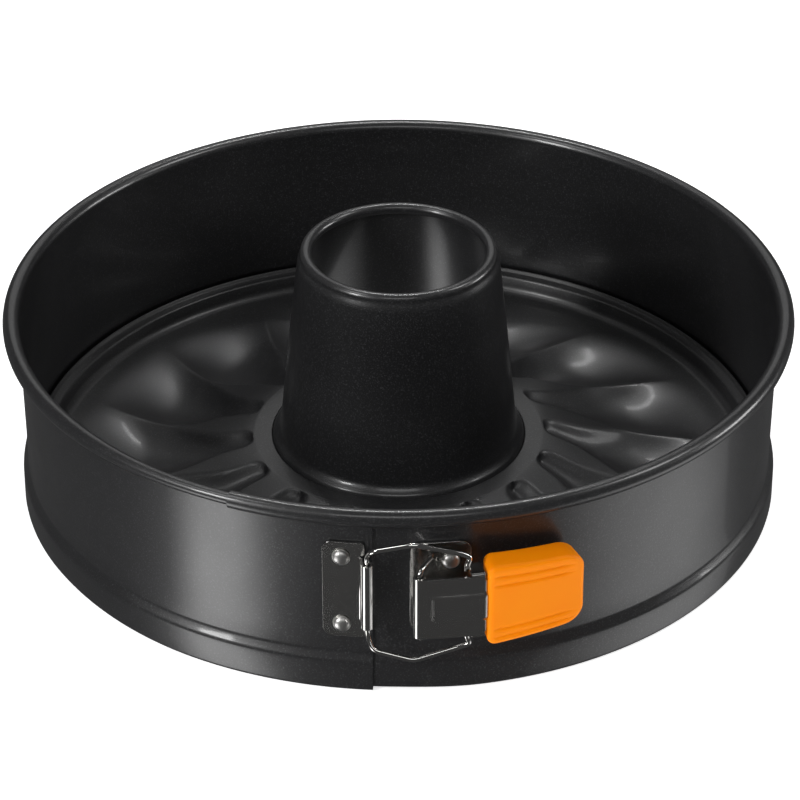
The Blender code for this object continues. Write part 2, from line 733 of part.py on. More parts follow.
def grip(frame, origin):
    """Silicone sleeve pushed over the lever's tongue."""
    long, deep = GRIP_TO - GRIP_FROM, GRIP_FRONT - GRIP_BACK
    middle = Vector((mix(GRIP_FROM, GRIP_TO, 0.5), mix(GRIP_BACK, GRIP_FRONT, 0.5), 0))
    bm = bmesh.new()
    size = Matrix.Diagonal((long, deep, 2 * GRIP_HALF, 1))
    bmesh.ops.create_cube(bm, size=1, matrix=Matrix.Translation(middle) @ size)
    far = [
        e
        for e in bm.edges
        if all(abs(v.co.x - GRIP_TO) < 0.01 * MM for v in e.verts)
        and abs(e.verts[0].co.y - e.verts[1].co.y) > 0.5 * deep
    ]
    bmesh.ops.bevel(
        bm, geom=far, offset=GRIP_CORNER, segments=4, profile=0.5, affect="EDGES"
    )
    sharp = [e for e in bm.edges if e.calc_face_angle(0) > 60 * DEG]
    bmesh.ops.bevel(
        bm, geom=sharp, offset=GRIP_EDGE, segments=2, profile=0.5, affect="EDGES"
    )
    for n in range(1, 5):
        place = Vector((mix(GRIP_FROM, GRIP_TO, n / 5), 0, 0))
        bmesh.ops.bisect_plane(
            bm, geom=[*bm.verts, *bm.edges, *bm.faces], plane_co=place, plane_no=(1, 0, 0)
        )
    for v in bm.verts:
        share = (v.co.x - GRIP_FROM) / long
        taper = 1 - GRIP_TAPER / GRIP_HALF * share
        v.co = on_ring(v.co.x, v.co.y - lean(v.co.x), v.co.z * taper)
    mesh = new_mesh("grip", bm, weld=False)
    sleeve = add("grip", mesh, silicone("grip silicone"), frame, origin)
    pocket = bmesh.new()
    start = GRIP_FROM - 2 * GAP
    columns = tongue_columns(start, TONGUE_END + GAP, TONGUE_HALF + GAP, TONGUE_DROP)
    add_sheet(pocket, columns)
    tool = as_cutter("grip_pocket", new_mesh("grip_pocket", pocket), frame, origin)
    solidify(tool, PLATE + 2 * GAP + 2 * PANEL_RISE)
    cut(sleeve, [tool])
    return sleeve


def build():
    ring_band(frame_of_ring)
    base_plate(frame_of_base)
    tube(frame_of_base)
    catch_plate(frame_of_catch, frame_origin[frame_of_catch.name])
    lever_bracket(frame_of_ring, Vector())
    pivot_wire(frame_of_ring, Vector())
    bail_wire(frame_of_bail, frame_origin[frame_of_bail.name])
    lever_arm(frame_of_lever, frame_origin[frame_of_lever.name])
    grip(frame_of_lever, frame_origin[frame_of_lever.name])
    for word, side in (("upper", 1), ("lower", -1)):
        z = side * CATCH_RIVET_Z - CATCH_DROP
        rivet(f"catch_rivet_{word}", CATCH_RIVET_S, z, LAYER, frame_of_catch)
        rivet(
            f"bracket_rivet_{word}", BRACKET_RIVET_S, side * BRACKET_RIVET_Z, 0, frame_of_ring
        )


clear_scene()
PARTS = collection("springform_tube_pan")
CUTTERS = collection("cutters")
frame_of_ring = pivot("frame_ring", Vector((0, RING_AXIS_Y, 0)))
frame_of_base = pivot("frame_base", Vector(), frame_of_ring)
frame_of_catch = pivot("frame_catch", RING_BACK, frame_of_ring)
frame_of_bail = pivot("frame_bail", KNUCKLE, frame_of_ring)
frame_of_lever = pivot("frame_lever", LEVER_PIVOT, frame_of_ring)
frame_origin = {
    frame_of_ring.name: Vector(),
    frame_of_base.name: Vector(),
    frame_of_catch.name: RING_BACK,
    frame_of_bail.name: KNUCKLE,
    frame_of_lever.name: LEVER_PIVOT,
}
build()
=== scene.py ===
"""Springform tube pan: its finished surfaces, light and camera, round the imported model."""

import json
import math

import bmesh
import bpy
from mathutils import Matrix, Vector


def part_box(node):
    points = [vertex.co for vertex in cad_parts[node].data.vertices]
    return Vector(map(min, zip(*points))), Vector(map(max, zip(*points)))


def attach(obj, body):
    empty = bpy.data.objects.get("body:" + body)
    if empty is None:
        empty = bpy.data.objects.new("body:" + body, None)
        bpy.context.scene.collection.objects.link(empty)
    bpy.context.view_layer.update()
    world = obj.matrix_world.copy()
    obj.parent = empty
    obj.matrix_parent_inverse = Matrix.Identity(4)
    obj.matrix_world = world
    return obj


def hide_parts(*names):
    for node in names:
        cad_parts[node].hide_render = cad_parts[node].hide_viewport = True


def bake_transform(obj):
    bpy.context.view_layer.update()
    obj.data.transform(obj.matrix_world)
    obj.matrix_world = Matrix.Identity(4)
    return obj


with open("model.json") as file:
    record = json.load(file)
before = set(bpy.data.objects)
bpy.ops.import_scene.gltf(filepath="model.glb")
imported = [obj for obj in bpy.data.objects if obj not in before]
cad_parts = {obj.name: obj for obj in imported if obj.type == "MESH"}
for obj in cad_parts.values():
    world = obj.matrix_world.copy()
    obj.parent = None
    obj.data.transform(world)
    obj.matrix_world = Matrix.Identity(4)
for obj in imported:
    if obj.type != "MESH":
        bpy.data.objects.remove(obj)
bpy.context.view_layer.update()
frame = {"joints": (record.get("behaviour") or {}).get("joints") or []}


# Ring band. One strip of 0.55 mm spring steel, sprayed with dark non-stick coating.
# It is rolled outwards at the rim and pressed out into a channel at the foot, and its
# ends lap at the front, where the outer end is stepped over the inner tongue.
MM = 0.001
DEG = math.pi / 180
WELD = 0.002 * MM
tube_low, tube_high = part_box("tube")
RING_AXIS = Vector((0, (tube_low.y + tube_high.y) / 2, 0))
GAP = 0.3 * MM  # between neighbouring layers of metal
BAND_SHEET = 0.55 * MM
LAP = BAND_SHEET + GAP
WALL_TOP, WALL_FOOT = 129.7 * MM, 128.8 * MM  # inner radius under the rim, over the channel
RIM_ROLL = 5.8 * MM  # outer diameter of the rolled rim
RIM_TURN = 280  # degrees that it is rolled through
RIM_Z = 70.5 * MM - RIM_ROLL / 2
CHANNEL_TOP, CHANNEL_DEPTH, CHANNEL_CORNER = 14.2 * MM, 1.9 * MM, 1.2 * MM
LIP = 2.4 * MM
TONGUE_START, OUTER_END = -23.6, 356.4  # degrees round from the front
TUCK_START, TUCK_OVER = -1, 13  # where the tongue's raised lip comes down
JOG_START, JOG_OVER = 300, 30  # where the outer end steps out over the tongue


def eased(share):
    """A smooth step from 0 to 1."""
    share = min(1.0, max(0.0, share))
    return share * share * (3 - 2 * share)


def between(low, high, share):
    return low + (high - low) * share


def sweep(start, stop, steps):
    """Evenly spaced values, with both ends among them."""
    return [between(start, stop, n / steps) for n in range(steps + 1)]


def arc(across, up, radius, angles):
    """Points round the middle (across, up) at these angles in degrees."""
    turns = [a * DEG for a in angles]
    return [(across + radius * math.cos(a), up + radius * math.sin(a)) for a in turns]


def around_ring(angle, radius, z):
    return RING_AXIS + Vector((radius * math.sin(angle), -radius * math.cos(angle), z))


def band_profile(degrees):
    """Radius and height of the sheet's middle, from the lip up to the rolled rim."""
    step_out = LAP * eased((degrees - JOG_START) / JOG_OVER)
    tuck = LAP * (1 - eased((degrees - TUCK_START) / TUCK_OVER))
    foot = WALL_FOOT + BAND_SHEET / 2 + step_out
    side = foot + CHANNEL_DEPTH
    low = BAND_SHEET / 2 + tuck
    lip = [(foot - LIP, low), (foot - 1.0 * MM, low)]
    bend = (-90, -68, -45, -22, 0)
    corner = arc(side - CHANNEL_CORNER, low + CHANNEL_CORNER, CHANNEL_CORNER, bend)
    shoulder = CHANNEL_TOP - 0.3 * tuck
    slope = [
        (side, shoulder - 5 * MM),
        (side, shoulder - 3.7 * MM),
        (side - 0.12 * MM, shoulder - 3.0 * MM),
        (side - 0.5 * MM, shoulder - 2.4 * MM),
        (foot + 0.45 * MM, shoulder - 0.8 * MM),
        (foot + 0.1 * MM, shoulder - 0.1 * MM),
    ]
    top = WALL_TOP + BAND_SHEET / 2 + step_out
    wall = zip(sweep(foot, top, 8), sweep(shoulder + 0.6 * MM, RIM_Z - 1 * MM, 8))
    roll = RIM_ROLL / 2 - BAND_SHEET / 2 - step_out
    rim = arc(top + roll, RIM_Z, roll, sweep(180, 180 - RIM_TURN, 24))
    return [*lip, *corner, *slope, *wall, *rim]


def pressed_sheet(bm, across, along, place):
    """A grid of faces, with each corner put where place(i, j) says."""
    made = bmesh.ops.create_grid(bm, x_segments=across, y_segments=along, size=1)
    for v in made["verts"]:
        v.co = place(round((v.co.x + 1) / 2 * across), round((v.co.y + 1) / 2 * along))


def new_object(name, bm, finish):
    """Makes a bmesh an object of the scene."""
    mesh = bpy.data.meshes.new(name)
    bm.to_mesh(mesh)
    bm.free()
    mesh.materials.append(finish)
    made = bpy.data.objects.new(name, mesh)
    bpy.context.scene.collection.objects.link(made)
    return made


def mesh_piece(name, bm, finish, smooth=35):
    """Closes the welds of a bmesh, points its faces outwards and makes it an object that
    is smooth up to this angle."""
    bmesh.ops.remove_doubles(bm, verts=bm.verts, dist=WELD)
    bmesh.ops.recalc_face_normals(bm, faces=bm.faces)
    piece = new_object(name, bm, finish)
    piece.data.shade_smooth()
    piece.data.set_sharp_from_angle(angle=smooth * DEG)
    return piece


def thicken(piece, thickness, offset=0.0):
    sheet = piece.modifiers.new("Sheet", "SOLIDIFY")
    sheet.thickness = thickness
    sheet.offset = offset
    sheet.use_even_offset = True


def soften(piece, width):
    """Rounds the sharp edges."""
    edge = piece.modifiers.new("Edges", "BEVEL")
    edge.width = width
    edge.segments = 2
    edge.limit_method = "ANGLE"
    edge.angle_limit = 50 * DEG
    edge.harden_normals = True


def settle(piece, smooth=35):
    """Makes the modifiers part of the mesh, and its new corners sharp."""
    bpy.context.view_layer.update()
    shown = piece.evaluated_get(bpy.context.evaluated_depsgraph_get())
    piece.data = bpy.data.meshes.new_from_object(shown)
    piece.modifiers.clear()
    piece.data.set_sharp_from_angle(angle=smooth * DEG)


def linear(hex_colour):
    """A web colour, such as #2b2b2c, as the linear colour that the shader takes."""
    parts = [int(hex_colour[n : n + 2], 16) / 255 for n in (1, 3, 5)]
    parts = [c / 12.92 if c <= 0.04045 else ((c + 0.055) / 1.055) ** 2.4 for c in parts]
    return (*parts, 1.0)


def set_inputs(node, **inputs):
    """Gives a node's inputs a value or a link. Their names have _ for a space."""
    for name, value in inputs.items():
        plug = node.inputs[name.replace("_", " ")]
        if isinstance(value, bpy.types.NodeSocket):
            node.id_data.links.new(value, plug)
        else:
            plug.default_value = value


def add_node(tree, kind, settings=None, **inputs):
    node = tree.nodes.new(kind)
    for name, value in (settings or {}).items():
        setattr(node, name, value)
    set_inputs(node, **inputs)
    return node


def new_material(name, **inputs):
    """A material with these values on its shader."""
    made = bpy.data.materials.new(name)
    made.use_nodes = True
    set_inputs(shader_of(made), **inputs)
    return made


def shader_of(material):
    return material.node_tree.nodes["Principled BSDF"]


def object_place(tree):
    return add_node(tree, "ShaderNodeTexCoord").outputs["Object"]


def noise(tree, place, scale, detail, roughness=0.5):
    """Noise in the piece's own coordinates, at this many waves to the metre."""
    settings = {"Scale": scale, "Detail": detail, "Roughness": roughness}
    return add_node(tree, "ShaderNodeTexNoise", Vector=place, **settings).outputs["Fac"]


def ranged(tree, value, source, target):
    """Takes values in the source range over to the target range."""
    ends = {"From_Min": source[0], "From_Max": source[1]}
    ends |= {"To_Min": target[0], "To_Max": target[1]}
    return add_node(tree, "ShaderNodeMapRange", Value=value, **ends).outputs["Result"]


def blended_colour(tree, share, first, second):
    """Goes from one web colour to another. The node's colours are inputs 6 and 7, and
    its mixed colour is output 2."""
    mix = add_node(tree, "ShaderNodeMix", {"data_type": "RGBA"}, Factor=share)
    mix.inputs[6].default_value = linear(first)
    mix.inputs[7].default_value = linear(second)
    return mix.outputs[2]


def bumps(tree, height, strength, distance):
    settings = {"Strength": strength, "Distance": distance}
    return add_node(tree, "ShaderNodeBump", Height=height, **settings).outputs["Normal"]


def non_stick_coating(name, dark="#1c1c1d", rough=0.3, coat=0.35, coat_roughness=0.08):
    """Baked PTFE coating on steel: near black, satin, with a fine orange peel and pale
    specks from the filler. The specks are 0.4 mm, coarser than real ones, to show."""
    made = new_material(name, IOR=1.5, Coat_Weight=coat, Coat_Roughness=coat_roughness)
    tree = made.node_tree
    place = object_place(tree)
    peel = noise(tree, place, 1900, 3, 0.65)
    cloud = noise(tree, place, 38, 3)
    specks = ranged(tree, peel, (0.54, 0.76), (0, 1))
    set_inputs(
        shader_of(made),
        Base_Color=blended_colour(tree, specks, dark, "#48484a"),
        Roughness=ranged(tree, cloud, (0.3, 0.7), (rough, rough + 0.07)),
        Normal=bumps(tree, peel, 0.3, 0.1 * MM),
    )
    return made


band_coating = non_stick_coating("band non-stick coating")


def band_half(name, start, stop, steps):
    columns = sweep(start, stop, steps)
    profiles = [band_profile(degrees) for degrees in columns]

    def place(i, j):
        return around_ring(columns[i] * DEG, *profiles[i][j])

    bm = bmesh.new()
    pressed_sheet(bm, steps, len(profiles[0]) - 1, place)
    half = mesh_piece(name, bm, band_coating)
    thicken(half, BAND_SHEET)
    settle(half)
    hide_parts("ring_band")
    return half


band_right = band_half("band_right_half", TONGUE_START, 180, 244)
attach(band_right, "ring")
band_left = band_half("band_left_half", 180, OUTER_END, 212)
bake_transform(band_left)
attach(band_left, "ring")


# Base plate. One round pressing of 0.8 mm steel with the same coating. Sixteen swirled
# flutes fan out from a flat seat round the tube and die away into a flat floor, and a
# step, a narrow strip and a rolled crest lead to the skirt that stands on the lip.
BASE_SHEET = 0.8 * MM
SEAT_Z, FLOOR_Z = 17.0 * MM, 6.6 * MM
HOLE = 44.3 * MM
SEAT_EDGE, FALL_END = 50.2 * MM, 95.0 * MM  # where the lands leave the seat, meet the floor
BASE_EDGE = WALL_FOOT - 0.7 * MM
STEP_EDGE = BASE_EDGE - 4.3 * MM
STEP_FILLET = 3.2 * MM
STRIP_Z = FLOOR_Z + 6.0 * MM
CREST = BASE_EDGE - 0.75 * MM
SKIRT_FOOT = 1.7 * MM
FLUTES = 16
FLUTE_PITCH = 2 * math.pi / FLUTES
FLUTE_COLUMNS = 28
FLUTE_TIP, FLUTE_END = 51.0 * MM, STEP_EDGE - 7.5 * MM
FLUTE_TIP_ANGLE, FLUTE_SWIRL = 4.5, 12  # degrees
FLUTE_DEPTH = 5.2 * MM
TIP_LENGTH = 4.5 * MM  # of a flute's round inner end
RIDGE_ROUND = 0.7 * MM  # how far the ridge between two flutes is rolled over


def flute_share(radius):
    """How far out along the flutes a radius is, from 0 at their tips to 1."""
    return min(1.0, max(0.0, (radius - FLUTE_TIP) / (FLUTE_END - FLUTE_TIP)))


def flute_turn(radius):
    """Angle of a flute's middle, which swirls back on its way out."""
    return (FLUTE_TIP_ANGLE - FLUTE_SWIRL * flute_share(radius)) * DEG


def land_height(radius):
    """Height of the top side between the flutes."""
    share = min(1.0, max(0.0, (radius - SEAT_EDGE) / (FALL_END - SEAT_EDGE)))
    return between(SEAT_Z, FLOOR_Z, math.sin(90 * DEG * share) ** 1.25)


def flute_depth(radius, off):
    """Depth at a part of the pitch off a flute's middle. The tip is round, and the flute
    widens until it meets its neighbours at a rolled ridge."""
    share = flute_share(radius)
    tip = min(1.0, share * (FLUTE_END - FLUTE_TIP) / TIP_LENGTH)
    half = between(0.25, 0.5, eased((share - 0.1) / 0.4)) * math.sqrt(1 - (1 - tip) ** 2)
    pitch = radius * FLUTE_PITCH
    inside = (half - abs(off)) * pitch
    if inside <= 0 or share >= 1:
        return 0.0
    inside = math.hypot(inside, RIDGE_ROUND) - RIDGE_ROUND
    along = between(0.6, 1, eased(share / 0.3)) * (1 - eased((share - 0.58) / 0.42))
    return FLUTE_DEPTH * along * (1 - (1 - inside / (half * pitch)) ** 2.2)


def base_profile():
    """Radius and height of the top side, from the tube's hole to the foot of the skirt."""
    seat = [(HOLE + r * MM, SEAT_Z) for r in (0, 0.4, 2)] + [(SEAT_EDGE, SEAT_Z)]
    radii = [SEAT_EDGE + 0.32 * MM, SEAT_EDGE + 0.56 * MM]
    radii += [between(FLUTE_TIP, FLUTE_END, share**1.35) for share in sweep(0, 1, 50)]
    lands = [(radius, land_height(radius)) for radius in radii]
    fillet_middle = STEP_EDGE - 1 * MM - STEP_FILLET
    step = arc(fillet_middle, FLOOR_Z + STEP_FILLET, STEP_FILLET, range(-90, 1, 15))
    strip = [
        (STEP_EDGE - 0.35 * MM, STRIP_Z - 0.7 * MM),
        (STEP_EDGE - 0.1 * MM, STRIP_Z - 0.15 * MM),
        (STEP_EDGE + 0.45 * MM, STRIP_Z),
        (CREST - 0.85 * MM, STRIP_Z),
        (CREST - 0.6 * MM, STRIP_Z + 0.25 * MM),
    ]
    crest = arc(CREST + 0.2 * MM, STRIP_Z + 0.7 * MM, 0.5 * MM, range(150, -1, -30))
    skirt = [(BASE_EDGE, STRIP_Z - 0.8 * MM), (BASE_EDGE, SKIRT_FOOT)]
    return seat + lands + step + strip + crest + skirt


base_rings = base_profile()


def base_place(i, j):
    """Columns follow the swirl, and stand closer together near the ridges."""
    radius, z = base_rings[j]
    flute, column = divmod(i, FLUTE_COLUMNS)
    off = 0.5 * math.sin(math.pi * (column / FLUTE_COLUMNS - 0.5))
    angle = flute_turn(radius) + (flute + off) * FLUTE_PITCH
    z -= flute_depth(radius, off)
    return RING_AXIS + Vector((radius * math.cos(angle), radius * math.sin(angle), z))


bm = bmesh.new()
pressed_sheet(bm, FLUTES * FLUTE_COLUMNS, len(base_rings) - 1, base_place)
base_coating = non_stick_coating(
    "base non-stick coating", rough=0.4, coat=0.16, coat_roughness=0.16
)
base_plate = mesh_piece("base_pressing", bm, base_coating, 60)
thicken(base_plate, BASE_SHEET, -1.0)
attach(base_plate, "base")
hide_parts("base_plate")


# Centre tube. A coated steel cone, drawn in one piece, rolled inwards at its mouth and
# flared at its foot into a flange that is clinched under the base's seat. It is spun
# here from its profile.
TUBE_SHEET = 0.7 * MM
TUBE_TOP = 90.4 * MM
TUBE_TOP_RADIUS, TUBE_FOOT_RADIUS = 34.4 * MM, 40.9 * MM
TUBE_ROLL = 4.0 * MM  # outer diameter of the rolled mouth
MOUTH_DRAW = 1.1 * MM  # how far the mouth is drawn in from the cone
TUBE_FLANGE = 2.4 * MM


def tube_profile():
    """Radius and height of the sheet's middle, from the mouth's rolled edge down."""
    roll = TUBE_ROLL / 2 - TUBE_SHEET / 2
    mouth_z = TUBE_TOP - TUBE_ROLL / 2
    profile = arc(TUBE_TOP_RADIUS - MOUTH_DRAW - roll, mouth_z, roll, sweep(250, 0, 24))
    for drawn, fall in ((1.0, 0.7), (0.8, 1.3), (0.5, 2.0), (0.2, 2.9), (0, 4)):
        profile.append((TUBE_TOP_RADIUS - drawn * MM, mouth_z - fall * MM))
    profile.append((between(TUBE_TOP_RADIUS, TUBE_FOOT_RADIUS, 0.5), 54 * MM))
    neck = HOLE - 1.2 * GAP - TUBE_SHEET / 2
    for share in sweep(0, 1, 6):
        flare_z = SEAT_Z + between(4.2, 0.4, share) * MM
        profile.append((between(TUBE_FOOT_RADIUS, neck, share**1.8), flare_z))
    flange_z = SEAT_Z - BASE_SHEET - GAP - TUBE_SHEET / 2
    profile += [(neck, flange_z + 0.4 * MM), (neck + 0.4 * MM, flange_z)]
    profile.append((neck + TUBE_FLANGE, flange_z))
    return profile


def turned(bm, line, steps, centre=RING_AXIS, axis=(0, 0, 1), side=Vector((1, 0, 0))):
    """Spins a profile of (distance from the axis, place along it) into a round shell."""
    along = Vector(axis)
    corners = [bm.verts.new(centre + side * r + along * h) for r, h in line]
    edges = [bm.edges.new(pair) for pair in zip(corners, corners[1:])]
    whole_turn = {"cent": centre, "axis": axis, "angle": 2 * math.pi, "steps": steps}
    bmesh.ops.spin(bm, geom=corners + edges, use_merge=True, **whole_turn)


bm = bmesh.new()
turned(bm, tube_profile(), 160)
# The tube's coating is a shade paler than the band's, #202021 against #1c1c1d. The paler tone is
# painted light that lifts the tube where it sits in the ring's shade.
tube_coating = non_stick_coating(
    "tube non-stick coating", "#202021", coat=0.4, coat_roughness=0.12
)
tube = mesh_piece("centre_tube", bm, tube_coating, 50)
thicken(tube, TUBE_SHEET)
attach(tube, "base")
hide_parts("tube")


# Catch plate. Nickel-plated 0.8 mm steel on the band's outer end. The middle of its right
# edge is curled round the bail wire, between two short ears that stay flat, and two
# domed rivets hold it.
PLATE, WIRE = 0.8 * MM, 1.7 * MM
CURL = WIRE / 2 + GAP + PLATE / 2  # radius of a plate's curl round a wire
CURL_STEPS = 24
CLASP_Z = 40 * MM
CATCH_LEFT, CATCH_BEND, CATCH_RIGHT = -24.0 * MM, -12.3 * MM, -10.6 * MM
CATCH_HALF, CATCH_CORNER, EAR_CORNER = 18.2 * MM, 3.0 * MM, 0.8 * MM
KNUCKLE_HALF, KNUCKLE_CORE = 12.1 * MM, 4.0 * MM
SLIT_EDGE = KNUCKLE_HALF + 0.4 * MM
CATCH_DROP = 1.0 * MM  # how far the plate sits below the knuckle's middle
CATCH_OUT = LAP + GAP + PLATE / 2
TAB_RISE = ((0, 0), (0.5, 0.08), (0.78, 0.42), (0.85, 1.0), (0.85, 2.5))  # mm to the right, out


def wall_out(z):
    """Outer radius of the wall."""
    up = (z - CHANNEL_TOP) / (RIM_Z - CHANNEL_TOP)
    return between(WALL_FOOT, WALL_TOP, up) + BAND_SHEET


CLASP_RADIUS = wall_out(CLASP_Z)


def upright(s, out, z):
    """A place at arc length s to the right, out from the wall at the clasp's middle and
    up from there."""
    return around_ring(s / CLASP_RADIUS, CLASP_RADIUS + out, CLASP_Z + z)


def on_slope(s, out, z):
    """The same, but it follows the wall's slope."""
    return around_ring(s / CLASP_RADIUS, wall_out(CLASP_Z + z) + out, CLASP_Z + z)


def round_pin(pin, angle, z):
    """A place on a plate's curl round an upright wire."""
    return pin + Vector((CURL * math.cos(angle), -CURL * math.sin(angle), z))


def plated_steel(name, tint="#c8c7c4", rough=0.17):
    """Bright nickel plate on pressed steel: warm grey mirror, with the faint waviness
    and hairlines of the sheet under it, about 0.3 mm apart."""
    made = new_material(name, Metallic=1.0)
    tree = made.node_tree
    place = object_place(tree)
    grain = add_node(tree, "ShaderNodeMapping", Vector=place, Scale=(1.0, 1.0, 0.08))
    lines = noise(tree, grain.outputs["Vector"], 3300, 2)
    dulled = noise(tree, place, 240, 4)
    set_inputs(
        shader_of(made),
        Base_Color=blended_colour(tree, dulled, tint, "#a9a8a6"),
        Roughness=ranged(tree, dulled, (0.3, 0.75), (rough - 0.05, rough + 0.08)),
        Normal=bumps(tree, lines, 0.05, 0.05 * MM),
    )
    return made


def corner_columns(end, corner, steps):
    """Columns that follow a plate's rounded corner, from the plate's end inwards."""
    return [end + corner * (1 - math.cos(a * DEG)) for a in sweep(0, 90, steps)]


def rounded_half(s, half, *corners):
    """Half height of a plate at s, less its rounded corners, each (end, radius)."""
    for end, radius in corners:
        short = radius - abs(s - end)
        if short > 0:
            half = half - radius + math.sqrt(max(0.0, radius * radius - short * short))
    return half


joint_at = {joint["name"]: Vector(joint["pos_m"]) for joint in frame["joints"] if "pos_m" in joint}
knuckle = joint_at["bail_swing"]
lever_pin = joint_at["lever_swing"]
catch_columns = corner_columns(CATCH_LEFT, CATCH_CORNER, 8)
catch_columns += sweep(CATCH_LEFT + CATCH_CORNER, CATCH_BEND, 6)[1:]


def catch_flat(i, j):
    s = catch_columns[i]
    tall = rounded_half(s, CATCH_HALF, (CATCH_LEFT, CATCH_CORNER))
    heights = [-tall - CATCH_DROP, -SLIT_EDGE, -KNUCKLE_HALF, -KNUCKLE_CORE]
    heights += [KNUCKLE_CORE, KNUCKLE_HALF, SLIT_EDGE, tall - CATCH_DROP]
    return on_slope(s, CATCH_OUT, heights[j])


def catch_curl(i, j):
    """The tab bends out from the plate, rises beside the wire and turns over it."""
    z = (-KNUCKLE_HALF, -KNUCKLE_CORE, KNUCKLE_CORE, KNUCKLE_HALF)[j]
    if i < len(TAB_RISE):
        along, out = TAB_RISE[i]
        place = upright if i else on_slope
        return place(CATCH_BEND + along * MM, CATCH_OUT + out * MM, z)
    a = between(180, -85, (i - len(TAB_RISE)) / CURL_STEPS) * DEG
    return round_pin(knuckle, a, z)


def catch_ear(i, j, side):
    s = between(CATCH_BEND, CATCH_RIGHT, i / 3)
    tall = rounded_half(s, CATCH_HALF, (CATCH_RIGHT, EAR_CORNER))
    return on_slope(s, CATCH_OUT, (side * SLIT_EDGE, side * tall - CATCH_DROP)[j])


bm = bmesh.new()
pressed_sheet(bm, len(catch_columns) - 1, 7, catch_flat)
pressed_sheet(bm, len(TAB_RISE) + CURL_STEPS, 3, catch_curl)
for side in (1, -1):
    pressed_sheet(bm, 3, 1, lambda i, j: catch_ear(i, j, side))
catch_plate = mesh_piece("catch_pressing", bm, plated_steel("catch nickel plate"), 40)
thicken(catch_plate, PLATE)
settle(catch_plate, 40)
soften(catch_plate, 0.3 * MM)
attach(catch_plate, "catch_end")
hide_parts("catch_plate")

# The same domed rivets hold the catch and the bracket
HEAD_RADIUS, SHANK_RADIUS = 3.0 * MM, 1.45 * MM
DOME_RADIUS, DOME_RISE, DOME_FOOT = 2.75 * MM, 1.7 * MM, 0.5 * MM
CATCH_RIVET_S, CATCH_RIVET_Z = -17.9 * MM, 12.9 * MM
rivet_plating = plated_steel("rivet nickel plate", "#dcdbd8", 0.4)


def rivet_pair(kind, s, height, drop, layer, body):
    """Two mushroom heads with soft rims, and upset ends that show inside the wall. The
    profile is in (distance from the rivet's axis, place along it)."""
    depth = PLATE + GAP + BAND_SHEET
    line = [(0, DOME_FOOT + DOME_RISE)]
    for turn in range(12, 91, 13):
        a = turn * DEG
        line.append((DOME_RADIUS * math.sin(a), DOME_FOOT + DOME_RISE * math.cos(a)))
    line += [(HEAD_RADIUS - 0.03 * MM, 0.55 * MM), (HEAD_RADIUS, 0.38 * MM)]
    line += [(HEAD_RADIUS - 0.1 * MM, GAP), (SHANK_RADIUS, GAP)]
    line += [(SHANK_RADIUS, -depth + 0.05 * MM), (1.9 * MM, -depth - 0.05 * MM)]
    line += [(1.6 * MM, -depth - 0.22 * MM), (0, -depth - 0.28 * MM)]
    angle = s / CLASP_RADIUS
    outward = Vector((math.sin(angle), -math.cos(angle), 0))
    for word, side in (("upper", 1), ("lower", -1)):
        seat = on_slope(s, layer + GAP + PLATE, side * height - drop)
        bm = bmesh.new()
        turned(bm, line, 32, centre=seat, axis=outward, side=Vector((0, 0, 1)))
        rivet = mesh_piece(f"{kind}_rivet_head_{word}", bm, rivet_plating, 50)
        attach(rivet, body)
        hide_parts(f"{kind}_rivet_{word}")


rivet_pair("catch", CATCH_RIVET_S, CATCH_RIVET_Z, CATCH_DROP, LAP, "catch_end")


# Lever bracket, its rivets and the pivot wire. A nickel-plated plate on the inner end of
# the band holds the two ends of a bent wire, and the lever turns on the wire's straight
# middle run.
BRACKET_LEFT, BRACKET_RIGHT = 3.6 * MM, 23.0 * MM
BRACKET_HALF, BRACKET_CORNER = 17.0 * MM, 3.5 * MM
BRACKET_RIVET_S, BRACKET_RIVET_Z = 16.4 * MM, 10.2 * MM
STAPLE_S, STAPLE_Z = 10.1 * MM, 13.2 * MM
bracket_columns = [
    *corner_columns(BRACKET_LEFT, BRACKET_CORNER, 6),
    *sweep(BRACKET_LEFT + BRACKET_CORNER, BRACKET_RIGHT - BRACKET_CORNER, 7)[1:-1],
    *reversed(corner_columns(BRACKET_RIGHT, -BRACKET_CORNER, 6)),
]


def bracket_place(i, j):
    s = bracket_columns[i]
    corners = [(end, BRACKET_CORNER) for end in (BRACKET_LEFT, BRACKET_RIGHT)]
    tall = rounded_half(s, BRACKET_HALF, *corners)
    return on_slope(s, GAP + PLATE / 2, between(-tall, tall, j / 6))


bm = bmesh.new()
pressed_sheet(bm, len(bracket_columns) - 1, 6, bracket_place)
bracket = mesh_piece("bracket_pressing", bm, plated_steel("bracket nickel plate"))
thicken(bracket, PLATE)
soften(bracket, 0.2 * MM)
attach(bracket, "ring")
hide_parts("lever_bracket")
rivet_pair("bracket", BRACKET_RIVET_S, BRACKET_RIVET_Z, 0, 0, "ring")


def bent_wire(name, corners, bend, finish):
    """A round wire through its corner points, with each corner bent to a radius."""
    path = [corners[0]]
    for before, at, after in zip(corners, corners[1:], corners[2:]):
        into, away = before - at, after - at
        reach = min(bend, 0.48 * into.length, 0.48 * away.length)
        start, stop = at + into.normalized() * reach, at + away.normalized() * reach
        for t in sweep(0, 1, 8):
            path.append((1 - t) ** 2 * start + 2 * t * (1 - t) * at + t * t * stop)
    path.append(corners[-1])
    curve = bpy.data.curves.new(name, "CURVE")
    curve.dimensions = "3D"
    curve.bevel_depth = WIRE / 2
    curve.bevel_resolution = 6
    curve.use_fill_caps = True
    line = curve.splines.new("POLY")
    line.points.add(len(path) - 1)
    for point, place in zip(line.points, path):
        point.co = (*place, 1)
    wire = bpy.data.objects.new(name, curve)
    bpy.context.scene.collection.objects.link(wire)
    curve.materials.append(finish)
    return wire


def staple_end(side):
    """The wire's path from the bracket out to the lever's axis."""
    z = side * STAPLE_Z
    tail = [on_slope(STAPLE_S, out * MM, z) for out in (0.36, 3.2)]
    return [*tail, lever_pin + Vector((0, 0, z))]


